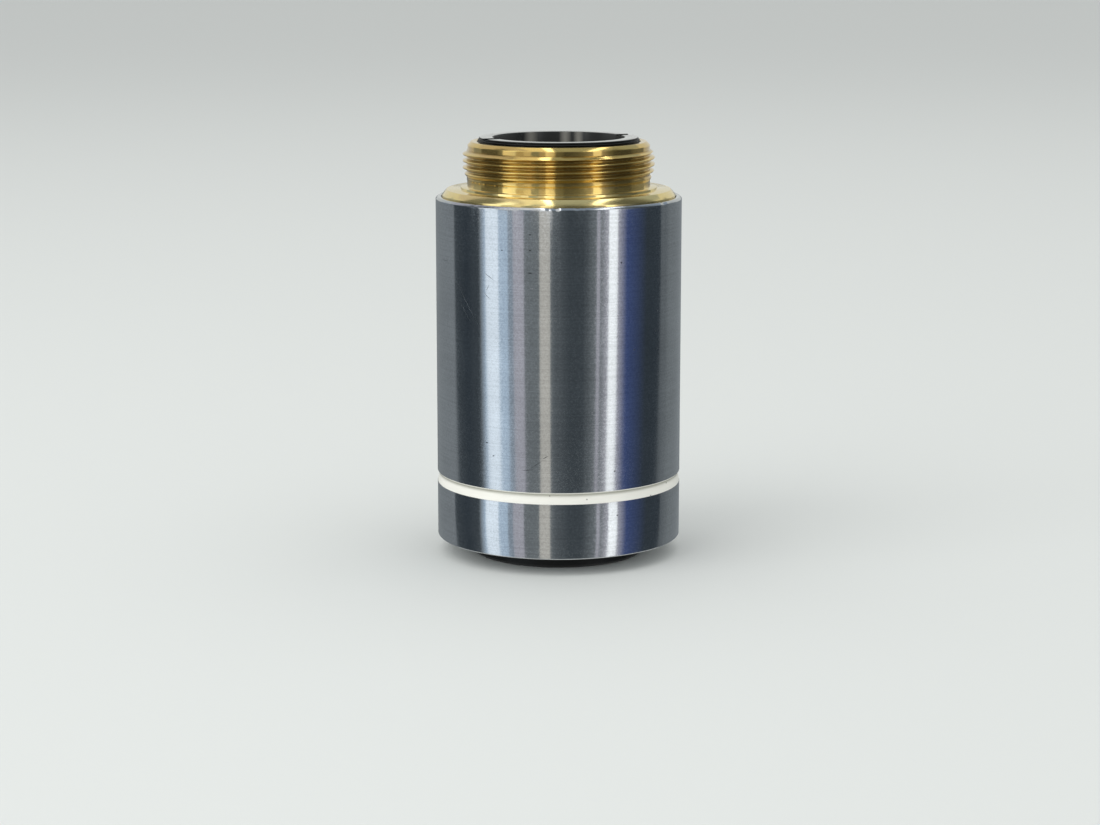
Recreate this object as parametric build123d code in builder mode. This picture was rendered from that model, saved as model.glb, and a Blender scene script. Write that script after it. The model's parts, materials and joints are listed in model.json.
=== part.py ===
from build123d import *
import os
from math import copysign, sqrt

# Microscope objective, in millimetres, standing on its nose with the thread up.
# Z is the optical axis and Z = 0 is the nose tip.

# Outer sleeve
sleeve_length = 36.4
sleeve_wall = 1.4
sleeve_floor = 1.4
sleeve_rim_chamfer = 0.22
sleeve_foot_chamfer = 0.1
mouth_rim = 0.57  # flat rim left round the counterbored mouth
mouth_gap = 0.1  # open ring between the rim and the brass shoulder
mouth_depth = 1.2
nose_stand = 1.8  # nose tip below the sleeve's lower edge

# Enamel band in its groove
band_height = 5.835  # above the sleeve's lower edge
band_width = 1.21
band_groove_depth = 0.3
band_edge_sink = 0.03
band_hollow = 0.16  # dip of the enamel between its two edges

# Brass mount with the objective thread
seat_rise = 0.75  # shoulder face above the sleeve's rim
seat_width = 1.477
seat_bevel_width = 0.5
seat_bevel_height = 0.6
collar_width = 0.7  # raised step round the neck's foot
collar_height = 0.25
flange_step = 0.33  # shoulder wider than the skirt below it
skirt_length = 13.0
skirt_wall = 2.2
mount_web = 2.5  # shoulder face down to the stop above the lens tube
thread_r = 10.135  # crest of the 0.8 inch male objective thread
thread_pitch = 25.4 / 36
thread_ridges = 4
whitworth_depth = 0.6403  # thread depth in pitches
whitworth_flat = 1 / 6  # crest and root width in pitches
relief_length = 1.2
relief_undercut = 0.03
pilot_length = 0.98
pilot_step = 0.08
pilot_chamfer = 0.36
neck_wall = 1.05
web_step = 0.4  # the web's hole is wider than the rear ring's bore by this

# Rear stop ring
ring_wall = 1.65
ring_length = 5.5
ring_proud = 0.44
ring_chamfer = 0.08
ring_slot_width = 1.4
ring_slot_depth = 0.27
ring_slot_angle = 23

# Nose cap
nose_step = 0.78  # nose wider than its spigot by this
nose_lip = 1.0
nose_edge_chamfer = 0.3
nose_flare = 0.5
nose_gap = 0.1
spigot_length = 2.4

# Lens tube and its lock ring
tube_wall = 1.2
tube_lip = 1.5
tube_end_gap = 0.8
tube_stop_gap = 0.25  # room above the tube for setting its height
lock_ring_length = 2.0
lock_ring_gap = 0.25

# Cells, spacers and screwed rings
cell_lip = 0.7
cell_margin = 0.3  # cell wall above its retainer
lens_seat = 0.6
retainer_length = 0.8
retainer_step = 0.45
slot_width = 1.0
slot_depth = 0.3
stack_ring_length = 1.2
stack_ring_wall = 1.8
stack_ring_gap = 0.5
spacer_wall = 1.1
front_spacer_length = 1.2
stop_thickness = 0.4
stop_margin = 0.1  # stop smaller than the flattener's clear hole by this

# Glass: metal left round its edge, bulge of each face (edge above vertex), edge or middle thickness
front_lens_wall = 2.38
front_lens_top = -1.73
front_lens_edge = 1.1
doublet_wall = 2.58
doublet_cemented = 1.78
doublet_top = -1.03
doublet_flint_middle = 1.2
doublet_crown_edge = 0.8
flattener_wall = 3.98
flattener_bottom = -1.26
flattener_top = 0.78
flattener_middle = 1.2
rear_wall = 2.38
rear_bottom = 0.98
rear_cemented = -1.57
rear_top = -0.48
rear_crown_edge = 0.85
rear_flint_middle = 1.4

# Fits, as radial or axial gaps
turned_fit = 0.02  # screwed and sliding fits of turned pieces
lens_fit = 0.02
touch = 0.02  # glass against the metal that holds it
cement = 0.02


def rise(bulge, edge_r, radius):
    """Height at this radius of a spherical face that rises from its vertex by bulge at its edge."""
    if bulge == 0:
        return 0
    curve = (edge_r**2 + bulge**2) / (2 * bulge)
    return curve - copysign(sqrt(curve**2 - radius**2), curve)


def face_line(radius, vertex, bulge):
    """Half section of a lens face, from the axis out to its edge."""
    edge = (radius, vertex + bulge)
    if bulge == 0:
        Line((0, vertex), edge)
    else:
        half = radius / 2
        ThreePointArc((0, vertex), (half, vertex + rise(bulge, radius, half)), edge)


def lens(radius, low, middle, bottom, top):
    """Glass element whose lower vertex is at height low."""
    high = low + middle
    with BuildPart() as piece:
        with BuildSketch(Plane.XZ):
            with BuildLine():
                face_line(radius, low, bottom)
                Line((radius, low + bottom), (radius, high + top))
                face_line(radius, high, top)
                Line((0, high), (0, low))
            make_face()
        revolve(axis=Axis.Z)
    return piece


def plain_ring(outer, inner, low, high):
    """Flat-ended ring or spacer."""
    with BuildPart() as piece:
        with BuildSketch(Plane.XY.offset(low)):
            Circle(outer)
            Circle(inner, mode=Mode.SUBTRACT)
        extrude(amount=high - low)
    return piece


def screwed_ring(outer, inner, low, high, slots_up=True):
    """Screwed ring with two spanner slots across one face."""
    slotted, inward = (high, -slot_depth) if slots_up else (low, slot_depth)
    with BuildPart() as piece:
        with BuildSketch(Plane.XY.offset(low)):
            Circle(outer)
            Circle(inner, mode=Mode.SUBTRACT)
        extrude(amount=high - low)
        with BuildSketch(Plane.XY.offset(slotted)):
            Rectangle(3 * outer, slot_width)
        extrude(amount=inward, mode=Mode.SUBTRACT)
    return piece


class LensGroup:
    """Heights of one or two cemented lenses, and of what holds them, above the cell's lower face."""

    def __init__(self, radius, bottom, top, glass_length):
        self.radius = radius
        self.clear_r = radius - lens_seat
        self.thread_r = radius + retainer_step
        self.low = cell_lip + touch - min(rise(bottom, radius, self.clear_r), bottom)
        self.high = self.low + glass_length
        self.edge_high = self.high + top
        contact = self.high + max(rise(top, radius, self.clear_r), top)
        self.retainer_low = contact + touch
        self.retainer_high = self.retainer_low + retainer_length
        self.length = self.retainer_high + cell_margin

    def cell(self, low):
        """Turned cell with a lip under the glass and a wider bore for the retainer."""
        with BuildPart() as piece:
            with BuildSketch(Plane.XZ):
                with BuildLine():
                    Polyline(
                        (self.clear_r, low),
                        (cell_r, low),
                        (cell_r, low + self.length),
                        (self.thread_r, low + self.length),
                        (self.thread_r, low + self.edge_high),
                        (self.radius + lens_fit, low + self.edge_high),
                        (self.radius + lens_fit, low + cell_lip),
                        (self.clear_r, low + cell_lip),
                        close=True,
                    )
                make_face()
            revolve(axis=Axis.Z)
        return piece

    def retainer(self, low):
        """Screwed ring that holds the glass down in the cell."""
        return screwed_ring(
            self.thread_r - turned_fit,
            self.clear_r,
            low + self.retainer_low,
            low + self.retainer_high,
        )


def keep(piece, name):
    """Label a finished piece and write its file."""
    piece.part.label = name
    export_step(piece.part, f"parts/{name}.step")


os.makedirs("parts", exist_ok=True)

# Heights of the sleeve, the mount and the tube
sleeve_low = nose_stand
sleeve_high = sleeve_low + sleeve_length
floor_high = sleeve_low + sleeve_floor
mouth_low = sleeve_high - mouth_depth
seat_high = sleeve_high + seat_rise
collar_high = seat_high + collar_height
flange_low = mouth_low + turned_fit
skirt_low = seat_high - skirt_length
thread_low = seat_high + relief_length
thread_high = thread_low + thread_ridges * thread_pitch
pilot_high = thread_high + pilot_length
ring_high = pilot_high + ring_proud
ring_low = ring_high - ring_length
tube_stop = seat_high - mount_web
tube_high = tube_stop - tube_stop_gap
tube_low = floor_high + tube_end_gap

# Radii, worked out from the thread
thread_root_r = thread_r - whitworth_depth * thread_pitch
relief_r = thread_root_r - relief_undercut
pilot_r = thread_root_r - pilot_step
ring_r = relief_r - neck_wall
ring_hole_r = ring_r + turned_fit
ring_bore_r = ring_r - ring_wall
web_r = ring_bore_r + web_step
collar_r = relief_r + collar_width
seat_r = collar_r + seat_width
flange_r = seat_r + seat_bevel_width
skirt_r = flange_r - flange_step
mouth_r = flange_r + mouth_gap
sleeve_r = mouth_r + mouth_rim
sleeve_bore_r = skirt_r + turned_fit
sleeve_inner_r = sleeve_r - sleeve_wall
tube_r = skirt_r - skirt_wall
mount_bore_r = tube_r + turned_fit
tube_bore_r = tube_r - tube_wall
cell_r = tube_bore_r - turned_fit
nose_r = cell_r + nose_step
floor_hole_r = nose_r + nose_gap
front_lens_r = cell_r - front_lens_wall
doublet_r = cell_r - doublet_wall
flattener_r = cell_r - flattener_wall
rear_r = cell_r - rear_wall

# Outer sleeve: a tube with a floor for the nose, a step under the mount and a counterbored mouth
band_low = sleeve_low + band_height
band_high = band_low + band_width
band_floor_r = sleeve_r - band_groove_depth
with BuildPart() as sleeve:
    with BuildSketch(Plane.XZ):
        with BuildLine():
            Polyline(
                (floor_hole_r, sleeve_low),
                (sleeve_r, sleeve_low),
                (sleeve_r, band_low),
                (band_floor_r, band_low),
                (band_floor_r, band_high),
                (sleeve_r, band_high),
                (sleeve_r, sleeve_high),
                (mouth_r, sleeve_high),
                (mouth_r, mouth_low),
                (sleeve_bore_r, mouth_low),
                (sleeve_bore_r, skirt_low),
                (sleeve_inner_r, skirt_low),
                (sleeve_inner_r, floor_high),
                (floor_hole_r, floor_high),
                close=True,
            )
        make_face()
    revolve(axis=Axis.Z)
    chamfer(sleeve.edges().group_by(Axis.Z)[-1].sort_by(SortBy.RADIUS)[-1], sleeve_rim_chamfer)
    chamfer(sleeve.edges().group_by(Axis.Z)[0].sort_by(SortBy.RADIUS)[-1], sleeve_foot_chamfer)
keep(sleeve, "outer_sleeve")

# Enamel band: fills the groove, with a hollow face just under the sleeve's surface
band_edge_r = sleeve_r - band_edge_sink
band_middle = (band_low + band_high) / 2
with BuildPart() as band:
    with BuildSketch(Plane.XZ):
        with BuildLine():
            Polyline(
                (band_edge_r, band_low),
                (band_floor_r, band_low),
                (band_floor_r, band_high),
                (band_edge_r, band_high),
            )
            ThreePointArc(
                (band_edge_r, band_high),
                (band_edge_r - band_hollow, band_middle),
                (band_edge_r, band_low),
            )
        make_face()
    revolve(axis=Axis.Z)
keep(band, "colour_band")

# Brass mount: skirt, bevelled shoulder, collar, relief, thread as ring-shaped ridges, and pilot end
crest = whitworth_flat * thread_pitch
flank = thread_pitch / 2 - crest
thread_outline = []
for ridge in range(thread_ridges):
    foot = thread_low + ridge * thread_pitch + crest / 2
    thread_outline += [
        (thread_root_r, foot),
        (thread_r, foot + flank),
        (thread_r, foot + flank + crest),
        (thread_root_r, foot + 2 * flank + crest),
    ]
with BuildPart() as mount:
    with BuildSketch(Plane.XZ):
        with BuildLine():
            Polyline(
                (mount_bore_r, skirt_low),
                (skirt_r, skirt_low),
                (skirt_r, flange_low),
                (flange_r, flange_low),
                (flange_r, seat_high - seat_bevel_height),
                (seat_r, seat_high),
                (collar_r, seat_high),
                (collar_r, collar_high),
                (relief_r, collar_high),
                (relief_r, thread_low),
                (thread_root_r, thread_low),
                *thread_outline,
                (thread_root_r, thread_high),
                (pilot_r, thread_high),
                (pilot_r, pilot_high - pilot_chamfer),
                (pilot_r - pilot_chamfer, pilot_high),
                (ring_hole_r, pilot_high),
                (ring_hole_r, ring_low),
                (web_r, ring_low),
                (web_r, tube_stop),
                (mount_bore_r, tube_stop),
                close=True,
            )
        make_face()
    revolve(axis=Axis.Z)
keep(mount, "thread_mount")

# Rear stop ring: screwed into the mount down to its web, with two spanner slots
with BuildPart() as rear_ring:
    with BuildSketch(Plane.XY.offset(ring_low)):
        Circle(ring_r)
        Circle(ring_bore_r, mode=Mode.SUBTRACT)
    extrude(amount=ring_length)
    chamfer(rear_ring.edges().group_by(Axis.Z)[-1], ring_chamfer)
    with BuildSketch(Plane.XY.offset(ring_high)):
        Rectangle(3 * ring_r, ring_slot_width, rotation=ring_slot_angle)
    extrude(amount=-ring_slot_depth, mode=Mode.SUBTRACT)
keep(rear_ring, "rear_stop_ring")

# Lens tube: bored from the front up to a lip behind the rear cell
with BuildPart() as tube:
    with BuildSketch(Plane.XZ):
        with BuildLine():
            Polyline(
                (tube_bore_r, tube_low),
                (tube_r, tube_low),
                (tube_r, tube_high),
                (rear_r, tube_high),
                (rear_r, tube_high - tube_lip),
                (tube_bore_r, tube_high - tube_lip),
                close=True,
            )
        make_face()
    revolve(axis=Axis.Z)
keep(tube, "lens_tube")

# Lock ring on the tube, against the mount's skirt
lock_ring = screwed_ring(
    sleeve_inner_r - lock_ring_gap,
    tube_r + turned_fit,
    skirt_low - lock_ring_length,
    skirt_low,
    slots_up=False,
)
keep(lock_ring, "tube_lock_ring")

# Front lens, flat side down on the nose's lip
front_clear_r = front_lens_r - lens_seat
front_middle = front_lens_edge - front_lens_top
front_low = nose_lip + touch
front_high = front_low + front_middle
front_lens = lens(front_lens_r, front_low, front_middle, 0, front_lens_top)
keep(front_lens, "front_lens")

# Retainer behind the front lens
front_thread_r = front_lens_r + retainer_step
front_retainer_low = front_high + rise(front_lens_top, front_lens_r, front_clear_r) + touch
front_retainer = screwed_ring(
    front_thread_r - turned_fit,
    front_clear_r,
    front_retainer_low,
    front_retainer_low + retainer_length,
)
keep(front_retainer, "front_lens_retainer")

# Nose cap: carries the front lens, and its spigot screws into the lens tube
spigot_high = tube_low + spigot_length
front_edge_high = front_low + front_lens_edge
with BuildPart() as nose:
    with BuildSketch(Plane.XZ):
        with BuildLine():
            Polyline(
                (front_clear_r + nose_flare, 0),
                (nose_r - nose_edge_chamfer, 0),
                (nose_r, nose_edge_chamfer),
                (nose_r, tube_low),
                (cell_r, tube_low),
                (cell_r, spigot_high),
                (front_thread_r, spigot_high),
                (front_thread_r, front_edge_high),
                (front_lens_r + lens_fit, front_edge_high),
                (front_lens_r + lens_fit, nose_lip),
                (front_clear_r, nose_lip),
                (front_clear_r, nose_flare),
                close=True,
            )
        make_face()
    revolve(axis=Axis.Z)
keep(nose, "nose_cap")

# Stack ring: closes the stack of cells from the front
stack_ring_low = spigot_high + stack_ring_gap
stack_low = stack_ring_low + stack_ring_length
stack_ring = screwed_ring(cell_r, cell_r - stack_ring_wall, stack_ring_low, stack_low, slots_up=False)
keep(stack_ring, "stack_ring")

# Front doublet: flint below, crown above
doublet_crown_middle = doublet_crown_edge + doublet_cemented - doublet_top
doublet = LensGroup(doublet_r, 0, doublet_top, doublet_flint_middle + cement + doublet_crown_middle)
doublet_low = stack_low
keep(doublet.cell(doublet_low), "front_doublet_cell")
flint_low = doublet_low + doublet.low
keep(lens(doublet_r, flint_low, doublet_flint_middle, 0, doublet_cemented), "front_doublet_flint")
crown_low = flint_low + doublet_flint_middle + cement
keep(
    lens(doublet_r, crown_low, doublet_crown_middle, doublet_cemented, doublet_top),
    "front_doublet_crown",
)
keep(doublet.retainer(doublet_low), "front_doublet_retainer")

# Front spacer
front_spacer_low = doublet_low + doublet.length
flattener_low = front_spacer_low + front_spacer_length
front_spacer = plain_ring(cell_r, cell_r - spacer_wall, front_spacer_low, flattener_low)
keep(front_spacer, "front_spacer")

# Field flattener: a lens hollow on both sides
flattener = LensGroup(flattener_r, flattener_bottom, flattener_top, flattener_middle)
keep(flattener.cell(flattener_low), "flattener_cell")
keep(
    lens(flattener_r, flattener_low + flattener.low, flattener_middle, flattener_bottom, flattener_top),
    "flattener_lens",
)
keep(flattener.retainer(flattener_low), "flattener_retainer")

# Aperture stop: a thin disc on the flattener's cell
stop_low = flattener_low + flattener.length
stop_high = stop_low + stop_thickness
aperture_stop = plain_ring(cell_r, flattener.clear_r - stop_margin, stop_low, stop_high)
keep(aperture_stop, "aperture_stop")

# Rear doublet: crown below, flint above, its cell hard against the tube's lip
rear_crown_middle = rear_crown_edge + rear_bottom - rear_cemented
rear = LensGroup(rear_r, rear_bottom, rear_top, rear_crown_middle + cement + rear_flint_middle)
rear_low = tube_high - tube_lip - rear.length
keep(rear.cell(rear_low), "rear_doublet_cell")
rear_crown_low = rear_low + rear.low
keep(
    lens(rear_r, rear_crown_low, rear_crown_middle, rear_bottom, rear_cemented),
    "rear_doublet_crown",
)
rear_flint_low = rear_crown_low + rear_crown_middle + cement
keep(
    lens(rear_r, rear_flint_low, rear_flint_middle, rear_cemented, rear_top),
    "rear_doublet_flint",
)
keep(rear.retainer(rear_low), "rear_doublet_retainer")

# Rear spacer: takes up the length between the stop and the rear cell
rear_spacer = plain_ring(cell_r, cell_r - spacer_wall, stop_high, rear_low)
keep(rear_spacer, "rear_spacer")
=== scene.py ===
"""Microscope objective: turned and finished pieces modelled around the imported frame, with a small studio."""

import json
import math

import bmesh
import bpy
from bpy.props import FloatProperty, FloatVectorProperty, IntProperty, PointerProperty
from bpy.types import Operator, Panel, PropertyGroup
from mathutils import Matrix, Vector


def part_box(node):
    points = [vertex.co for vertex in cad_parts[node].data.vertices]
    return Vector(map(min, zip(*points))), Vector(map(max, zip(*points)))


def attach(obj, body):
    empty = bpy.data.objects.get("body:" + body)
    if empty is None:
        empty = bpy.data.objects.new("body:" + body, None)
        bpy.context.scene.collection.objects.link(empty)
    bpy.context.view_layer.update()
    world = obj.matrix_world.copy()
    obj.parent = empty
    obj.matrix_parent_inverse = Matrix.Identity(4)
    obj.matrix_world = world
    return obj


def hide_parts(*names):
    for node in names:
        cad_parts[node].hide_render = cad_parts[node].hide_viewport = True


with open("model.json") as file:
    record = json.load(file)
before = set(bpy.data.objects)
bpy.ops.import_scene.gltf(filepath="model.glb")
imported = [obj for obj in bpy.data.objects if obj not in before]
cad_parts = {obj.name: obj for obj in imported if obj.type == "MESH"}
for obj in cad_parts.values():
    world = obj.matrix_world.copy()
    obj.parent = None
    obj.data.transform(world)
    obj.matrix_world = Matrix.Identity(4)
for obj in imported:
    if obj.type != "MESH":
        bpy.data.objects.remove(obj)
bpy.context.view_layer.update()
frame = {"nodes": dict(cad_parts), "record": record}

bl_info = {
    "name": "Microscope objective",
    "version": (1, 0, 0),
    "blender": (4, 5, 0),
    "location": "3D View > Sidebar > Objective",
    "description": "Models the visible pieces of a microscope objective around its packed frame",
    "category": "Object",
}

MM = 0.001
FULL_TURN = 2 * math.pi
MERGE = 0.0005 * MM  # points closer than this are one point
SHARP = math.radians(28)  # edges that bend more than this are broken
SMOOTH = math.radians(32)  # edges that bend less than this are shaded smooth
# A colour Mix has its colours at inputs 6 and 7 and its result at output 2
COLOUR_MIX = {"data_type": "RGBA", "out": 2}

# Enamel band
ENAMEL_FLATS = 16  # flats from its lower to its upper edge
ENAMEL_SKEW = 1.6  # above 1, the dip is deepest above the middle

# Brass mount
THREAD_DEPTH = 0.6403  # in pitches, as on a 55 degree thread
THREAD_ROUNDING = 0.1373  # radius of crest and root, in pitches
THREAD_BEND = math.radians(62.5)  # half the turn of a crest or root
ARC_STEPS = 3  # flats on half a crest or root
NECK_UNDERCUT = 0.03 * MM  # depth of the neck under the thread's root
PILOT_STEP = 0.08 * MM  # depth of the pilot under the thread's root
RIM_STEP = 0.03 * MM  # height of the strips that join the thread to the neck and the pilot
TUBE_STOP_GAP = 0.25 * MM  # from the lens tube's end to the web above it
WEB_STEP = 0.4 * MM  # the web's opening past the rear ring's bore, in radius

# Places and sizes that the frame gives
mounts = {mount["name"]: mount for mount in frame["record"]["mounts"]}
seat_height = mounts["seat_face"]["pos_m"][2]
thread_crest = mounts["objective_thread"]["dims"]["r_mm"] * MM
sleeve_low, sleeve_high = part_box("outer_sleeve")
band_low, band_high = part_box("colour_band")
mount_low, mount_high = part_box("thread_mount")
ring_low, ring_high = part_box("rear_stop_ring")
nose_low, nose_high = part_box("nose_cap")
tube_low, tube_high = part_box("lens_tube")
lens_low, lens_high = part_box("front_lens")


def linear(hex_colour):
    """Linear colour for a shader, from an sRGB hex value."""
    channels = [int(hex_colour[place:place + 2], 16) / 255 for place in (1, 3, 5)]
    return [c / 12.92 if c <= 0.04045 else ((c + 0.055) / 1.055) ** 2.4 for c in channels]


def length(name, description, millimetres):
    """A length that a user may change, given in millimetres and kept in metres."""
    return FloatProperty(
        name=name, description=description, default=millimetres * MM, min=0, unit="LENGTH", precision=5
    )


def colour(name, description, hex_colour):
    """A colour that a user may change."""
    return FloatVectorProperty(
        name=name, description=description, default=linear(hex_colour), min=0, max=1, subtype="COLOR"
    )


class ObjectiveSizes(PropertyGroup):
    """Sizes of the turned pieces that the frame's boxes don't give"""

    steps: IntProperty(name="Steps", description="Flats round a turned piece", default=256, min=32, max=512)
    edge_break: length("Edge break", "Width of the small bevel on turned edges", 0.03)
    rim_chamfer: length("Rim chamfer", "Chamfer on the sleeve's upper edge", 0.22)
    nick_reach: length("Nick reach", "Height of the wall under the rim that a nick can bend", 0.18)
    foot_chamfer: length("Foot chamfer", "Chamfer on the sleeve's lower edge", 0.1)
    rim_width: length("Rim width", "Flat rim left round the sleeve's mouth", 0.57)
    mouth_depth: length("Mouth depth", "Depth of the wide mouth round the brass shoulder", 1.2)
    sleeve_wall: length("Sleeve wall", "Wall of the sleeve below the mount", 1.4)
    sleeve_floor: length("Sleeve floor", "Thickness of the sleeve's lower end", 1.4)
    nose_gap: length("Nose gap", "Gap between the nose and the sleeve's floor", 0.1)
    groove_depth: length("Groove depth", "Depth of the groove that holds the enamel", 0.3)
    enamel_hollow: length("Enamel hollow", "Dip of the enamel between its edges", 0.16)
    pitch: length("Thread pitch", "Rise of the thread in one turn", 25.4 / 36)
    crest_rise: length("Crest rise", "Height of a thread crest over the seat, on the +X side", 1.92)
    relief_width: length("Relief width", "Seat up to the end of the thread's run-out", 0.95)
    lead_in: length("Lead-in", "Height of the chamfer that starts the thread under the pilot", 0.33)
    run_out: length("Run-out", "Height over which the thread fades out over the neck", 1.25)
    pilot_height: length("Pilot height", "Plain end above the thread", 0.87)
    pilot_chamfer: length("Pilot chamfer", "Chamfer on the pilot's upper edge", 0.36)
    collar_width: length("Collar width", "Raised step round the neck's foot", 0.7)
    collar_height: length("Collar height", "Height of the raised step round the neck's foot", 0.25)
    bevel_width: length("Seat bevel width", "Width of the bevel round the shoulder", 0.5)
    bevel_height: length("Seat bevel height", "Height of the bevel round the shoulder", 0.6)
    flange_step: length("Flange step", "Shoulder wider than the skirt below it", 0.33)
    turned_fit: length("Turned fit", "Gap of screwed and sliding fits", 0.02)
    ring_wall: length("Rear ring wall", "Wall of the black rear ring", 1.65)
    ring_chamfer: length("Rear ring chamfer", "Chamfer on the rear ring's upper edges", 0.06)
    ring_groove: length("Rear ring groove", "Depth of the grooves in the rear ring's rim", 0.32)
    ring_ridge: length("Rear ring ridge", "Step back of the ridge between these grooves", 0.08)
    ring_rim: length("Rear ring rim", "Step back of the rear ring's upper rim", 0.22)
    slot_width: length("Slot width", "Width of the rear ring's spanner slots", 1.4)
    slot_depth: length("Slot depth", "Depth of the rear ring's spanner slots", 0.12)
    slot_turn: FloatProperty(
        name="Slot turn",
        description="Turn of the spanner slots from +X",
        default=math.radians(23),
        subtype="ANGLE",
    )
    nose_chamfer: length("Nose chamfer", "Chamfer on the nose's lower edge", 0.3)
    nose_flare: length("Nose flare", "Flare of the nose's front opening", 0.5)
    nose_lip: length("Nose lip", "Lip under the front lens", 1.0)
    lens_cover: length("Lens cover", "How far this lip covers the front lens", 0.6)
    lens_edge: length("Lens edge", "Height of the front lens's edge", 1.1)


class ObjectiveColours(PropertyGroup):
    """Colours of the finishes and of the stage"""

    chrome: colour("Satin chrome", "Reflection of the sleeve", "#CDD0D3")
    enamel: colour("Enamel", "Fill of the ring groove", "#FAF9F0")
    brass: colour("Brass", "Reflection of the turned mount", "#EDCC7C")
    # Brown of the oil in the thread's roots, also used as painted shade on the thread's downward faces
    thread_oil_and_shade: colour("Tarnish", "Oiled brass in the thread", "#8A6F3E")
    black: colour("Black anodising", "Rear ring and nose", "#101111")
    blackened: colour("Blackened brass", "Lens tube and retainers", "#1F1C19")
    glass: colour("Glass", "Body colour of the lenses", "#FBFCFC")
    floor: colour("Floor", "Plain pale floor", "#D6D9D6")
    ceiling: colour("Ceiling", "Upper part of the backdrop, as reflections see it", "#767A7B")


# Modelling


def begin(name, outline):
    """Draws an open outline of (radius, height) points in the XZ plane, left in edit mode."""
    bpy.ops.object.select_all(action="DESELECT")
    bpy.ops.mesh.primitive_plane_add(size=MM)
    piece = bpy.context.object
    piece.name = name
    piece.data.name = name
    bpy.ops.object.mode_set(mode="EDIT")
    bpy.ops.mesh.merge(type="CENTER")
    bpy.ops.transform.translate(value=(outline[0][0], 0, outline[0][1]))
    for (radius, height), (next_radius, next_height) in zip(outline, outline[1:]):
        step = (next_radius - radius, 0, next_height - height)
        bpy.ops.mesh.extrude_region_move(TRANSFORM_OT_translate={"value": step})
    return piece


def clean_mesh():
    """Merges doubles and turns the faces outwards, in edit mode."""
    bpy.ops.mesh.select_all(action="SELECT")
    bpy.ops.mesh.remove_doubles(threshold=MERGE)
    bpy.ops.mesh.normals_make_consistent(inside=False)


def turn(name, outline, steps, closed=True):
    """Turns an outline round the Z axis, as on a lathe."""
    piece = begin(name, outline + outline[:1] if closed else outline)
    bpy.ops.mesh.select_all(action="SELECT")
    bpy.ops.mesh.remove_doubles(threshold=MERGE)
    bpy.ops.mesh.spin(steps=steps, angle=FULL_TURN, center=(0, 0, 0), axis=(0, 0, 1))
    clean_mesh()
    bpy.ops.object.mode_set(mode="OBJECT")
    return piece


def make_active(piece):
    """Selects one piece alone."""
    bpy.ops.object.select_all(action="DESELECT")
    piece.select_set(True)
    bpy.context.view_layer.objects.active = piece


def apply_modifier(piece, kind, **settings):
    """Adds a modifier with these settings and applies it."""
    make_active(piece)
    bpy.ops.object.modifier_add(type=kind)
    modifier = piece.modifiers[-1]
    for name, value in settings.items():
        setattr(modifier, name, value)
    bpy.ops.object.modifier_apply(modifier=modifier.name)


def break_edges(piece, width):
    """Small bevels on the sharp edges that turning leaves."""
    chosen = {"limit_method": "ANGLE", "angle_limit": SHARP}
    apply_modifier(piece, "BEVEL", width=width, segments=2, **chosen)


def finish_piece(piece, material, node):
    """Shades a piece and ties it to the frame."""
    make_active(piece)
    bpy.ops.object.shade_smooth_by_angle(angle=SMOOTH)
    piece.data.materials.clear()
    piece.data.materials.append(material)
    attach(piece, "root")
    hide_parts(node)


def select_vertices(piece, chosen):
    """Selects the vertices that pass a test, in edit mode."""
    mesh = bmesh.from_edit_mesh(piece.data)
    bpy.ops.mesh.select_all(action="DESELECT")
    for vertex in mesh.verts:
        vertex.select_set(chosen(vertex))
    mesh.select_flush(True)
    bmesh.update_edit_mesh(piece.data)


def from_front(point):
    """Angle of a point round the axis, in degrees to the right of the front."""
    return math.degrees(math.atan2(point.x, -point.y))


# Materials


def fill(tree, node, inputs):
    """Links or sets a node's inputs."""
    for socket, value in inputs.items():
        if isinstance(value, bpy.types.NodeSocket):
            tree.links.new(value, node.inputs[socket])
        else:
            node.inputs[socket].default_value = value


def add(tree, kind, inputs=None, out=0, **settings):
    """Adds a node with its settings and links, and gives one of its outputs."""
    node = tree.nodes.new("ShaderNode" + kind)
    for name, value in settings.items():
        setattr(node, name, value)
    fill(tree, node, inputs or {})
    return node.outputs[out]


def new_finish(name):
    """A node material with its main shader."""
    material = bpy.data.materials.new(name)
    material.use_nodes = True
    return material, material.node_tree, material.node_tree.nodes["Principled BSDF"]


def per_mm(size):
    """Pattern scale at which one feature measures this many millimetres."""
    return 1 / (size * MM)


def rgba(channels, share=1):
    """Shader colour with full alpha, at a share of its brightness."""
    return (*(channel * share for channel in channels), 1)


def unrolled_wall(tree, radius):
    """A turned wall laid flat: millimetres round it from the front, and millimetres of height."""
    place = add(tree, "TexCoord", out="Object")
    x, y, z = add(tree, "SeparateXYZ", {0: place}).node.outputs
    front = add(tree, "Math", {0: y, 1: -1}, operation="MULTIPLY")
    angle = add(tree, "Math", {0: x, 1: front}, operation="ARCTAN2")
    around = add(tree, "Math", {0: angle, 1: radius / MM}, operation="MULTIPLY")
    height = add(tree, "Math", {0: z, 1: 1 / MM}, operation="MULTIPLY")
    return add(tree, "CombineXYZ", {"X": around, "Y": height})


def lathe_place(tree):
    """Distance from the axis, height, and both as one place, which is the same all round a turned piece."""
    place = add(tree, "TexCoord", out="Object")
    flat = add(tree, "VectorMath", {0: place, 1: (1, 1, 0)}, operation="MULTIPLY")
    radius = add(tree, "VectorMath", {0: flat}, out="Value", operation="LENGTH")
    height = add(tree, "SeparateXYZ", {0: place}, out="Z")
    return radius, height, add(tree, "CombineXYZ", {"X": radius, "Z": height})


def brush_round(tree, shader, strength):
    """Smears reflections across the fine marks that run round a turned piece."""
    tangent = add(tree, "Tangent", direction_type="RADIAL", axis="Z")
    fill(tree, shader, {"Anisotropic": strength, "Anisotropic Rotation": 0.25, "Tangent": tangent})


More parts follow.
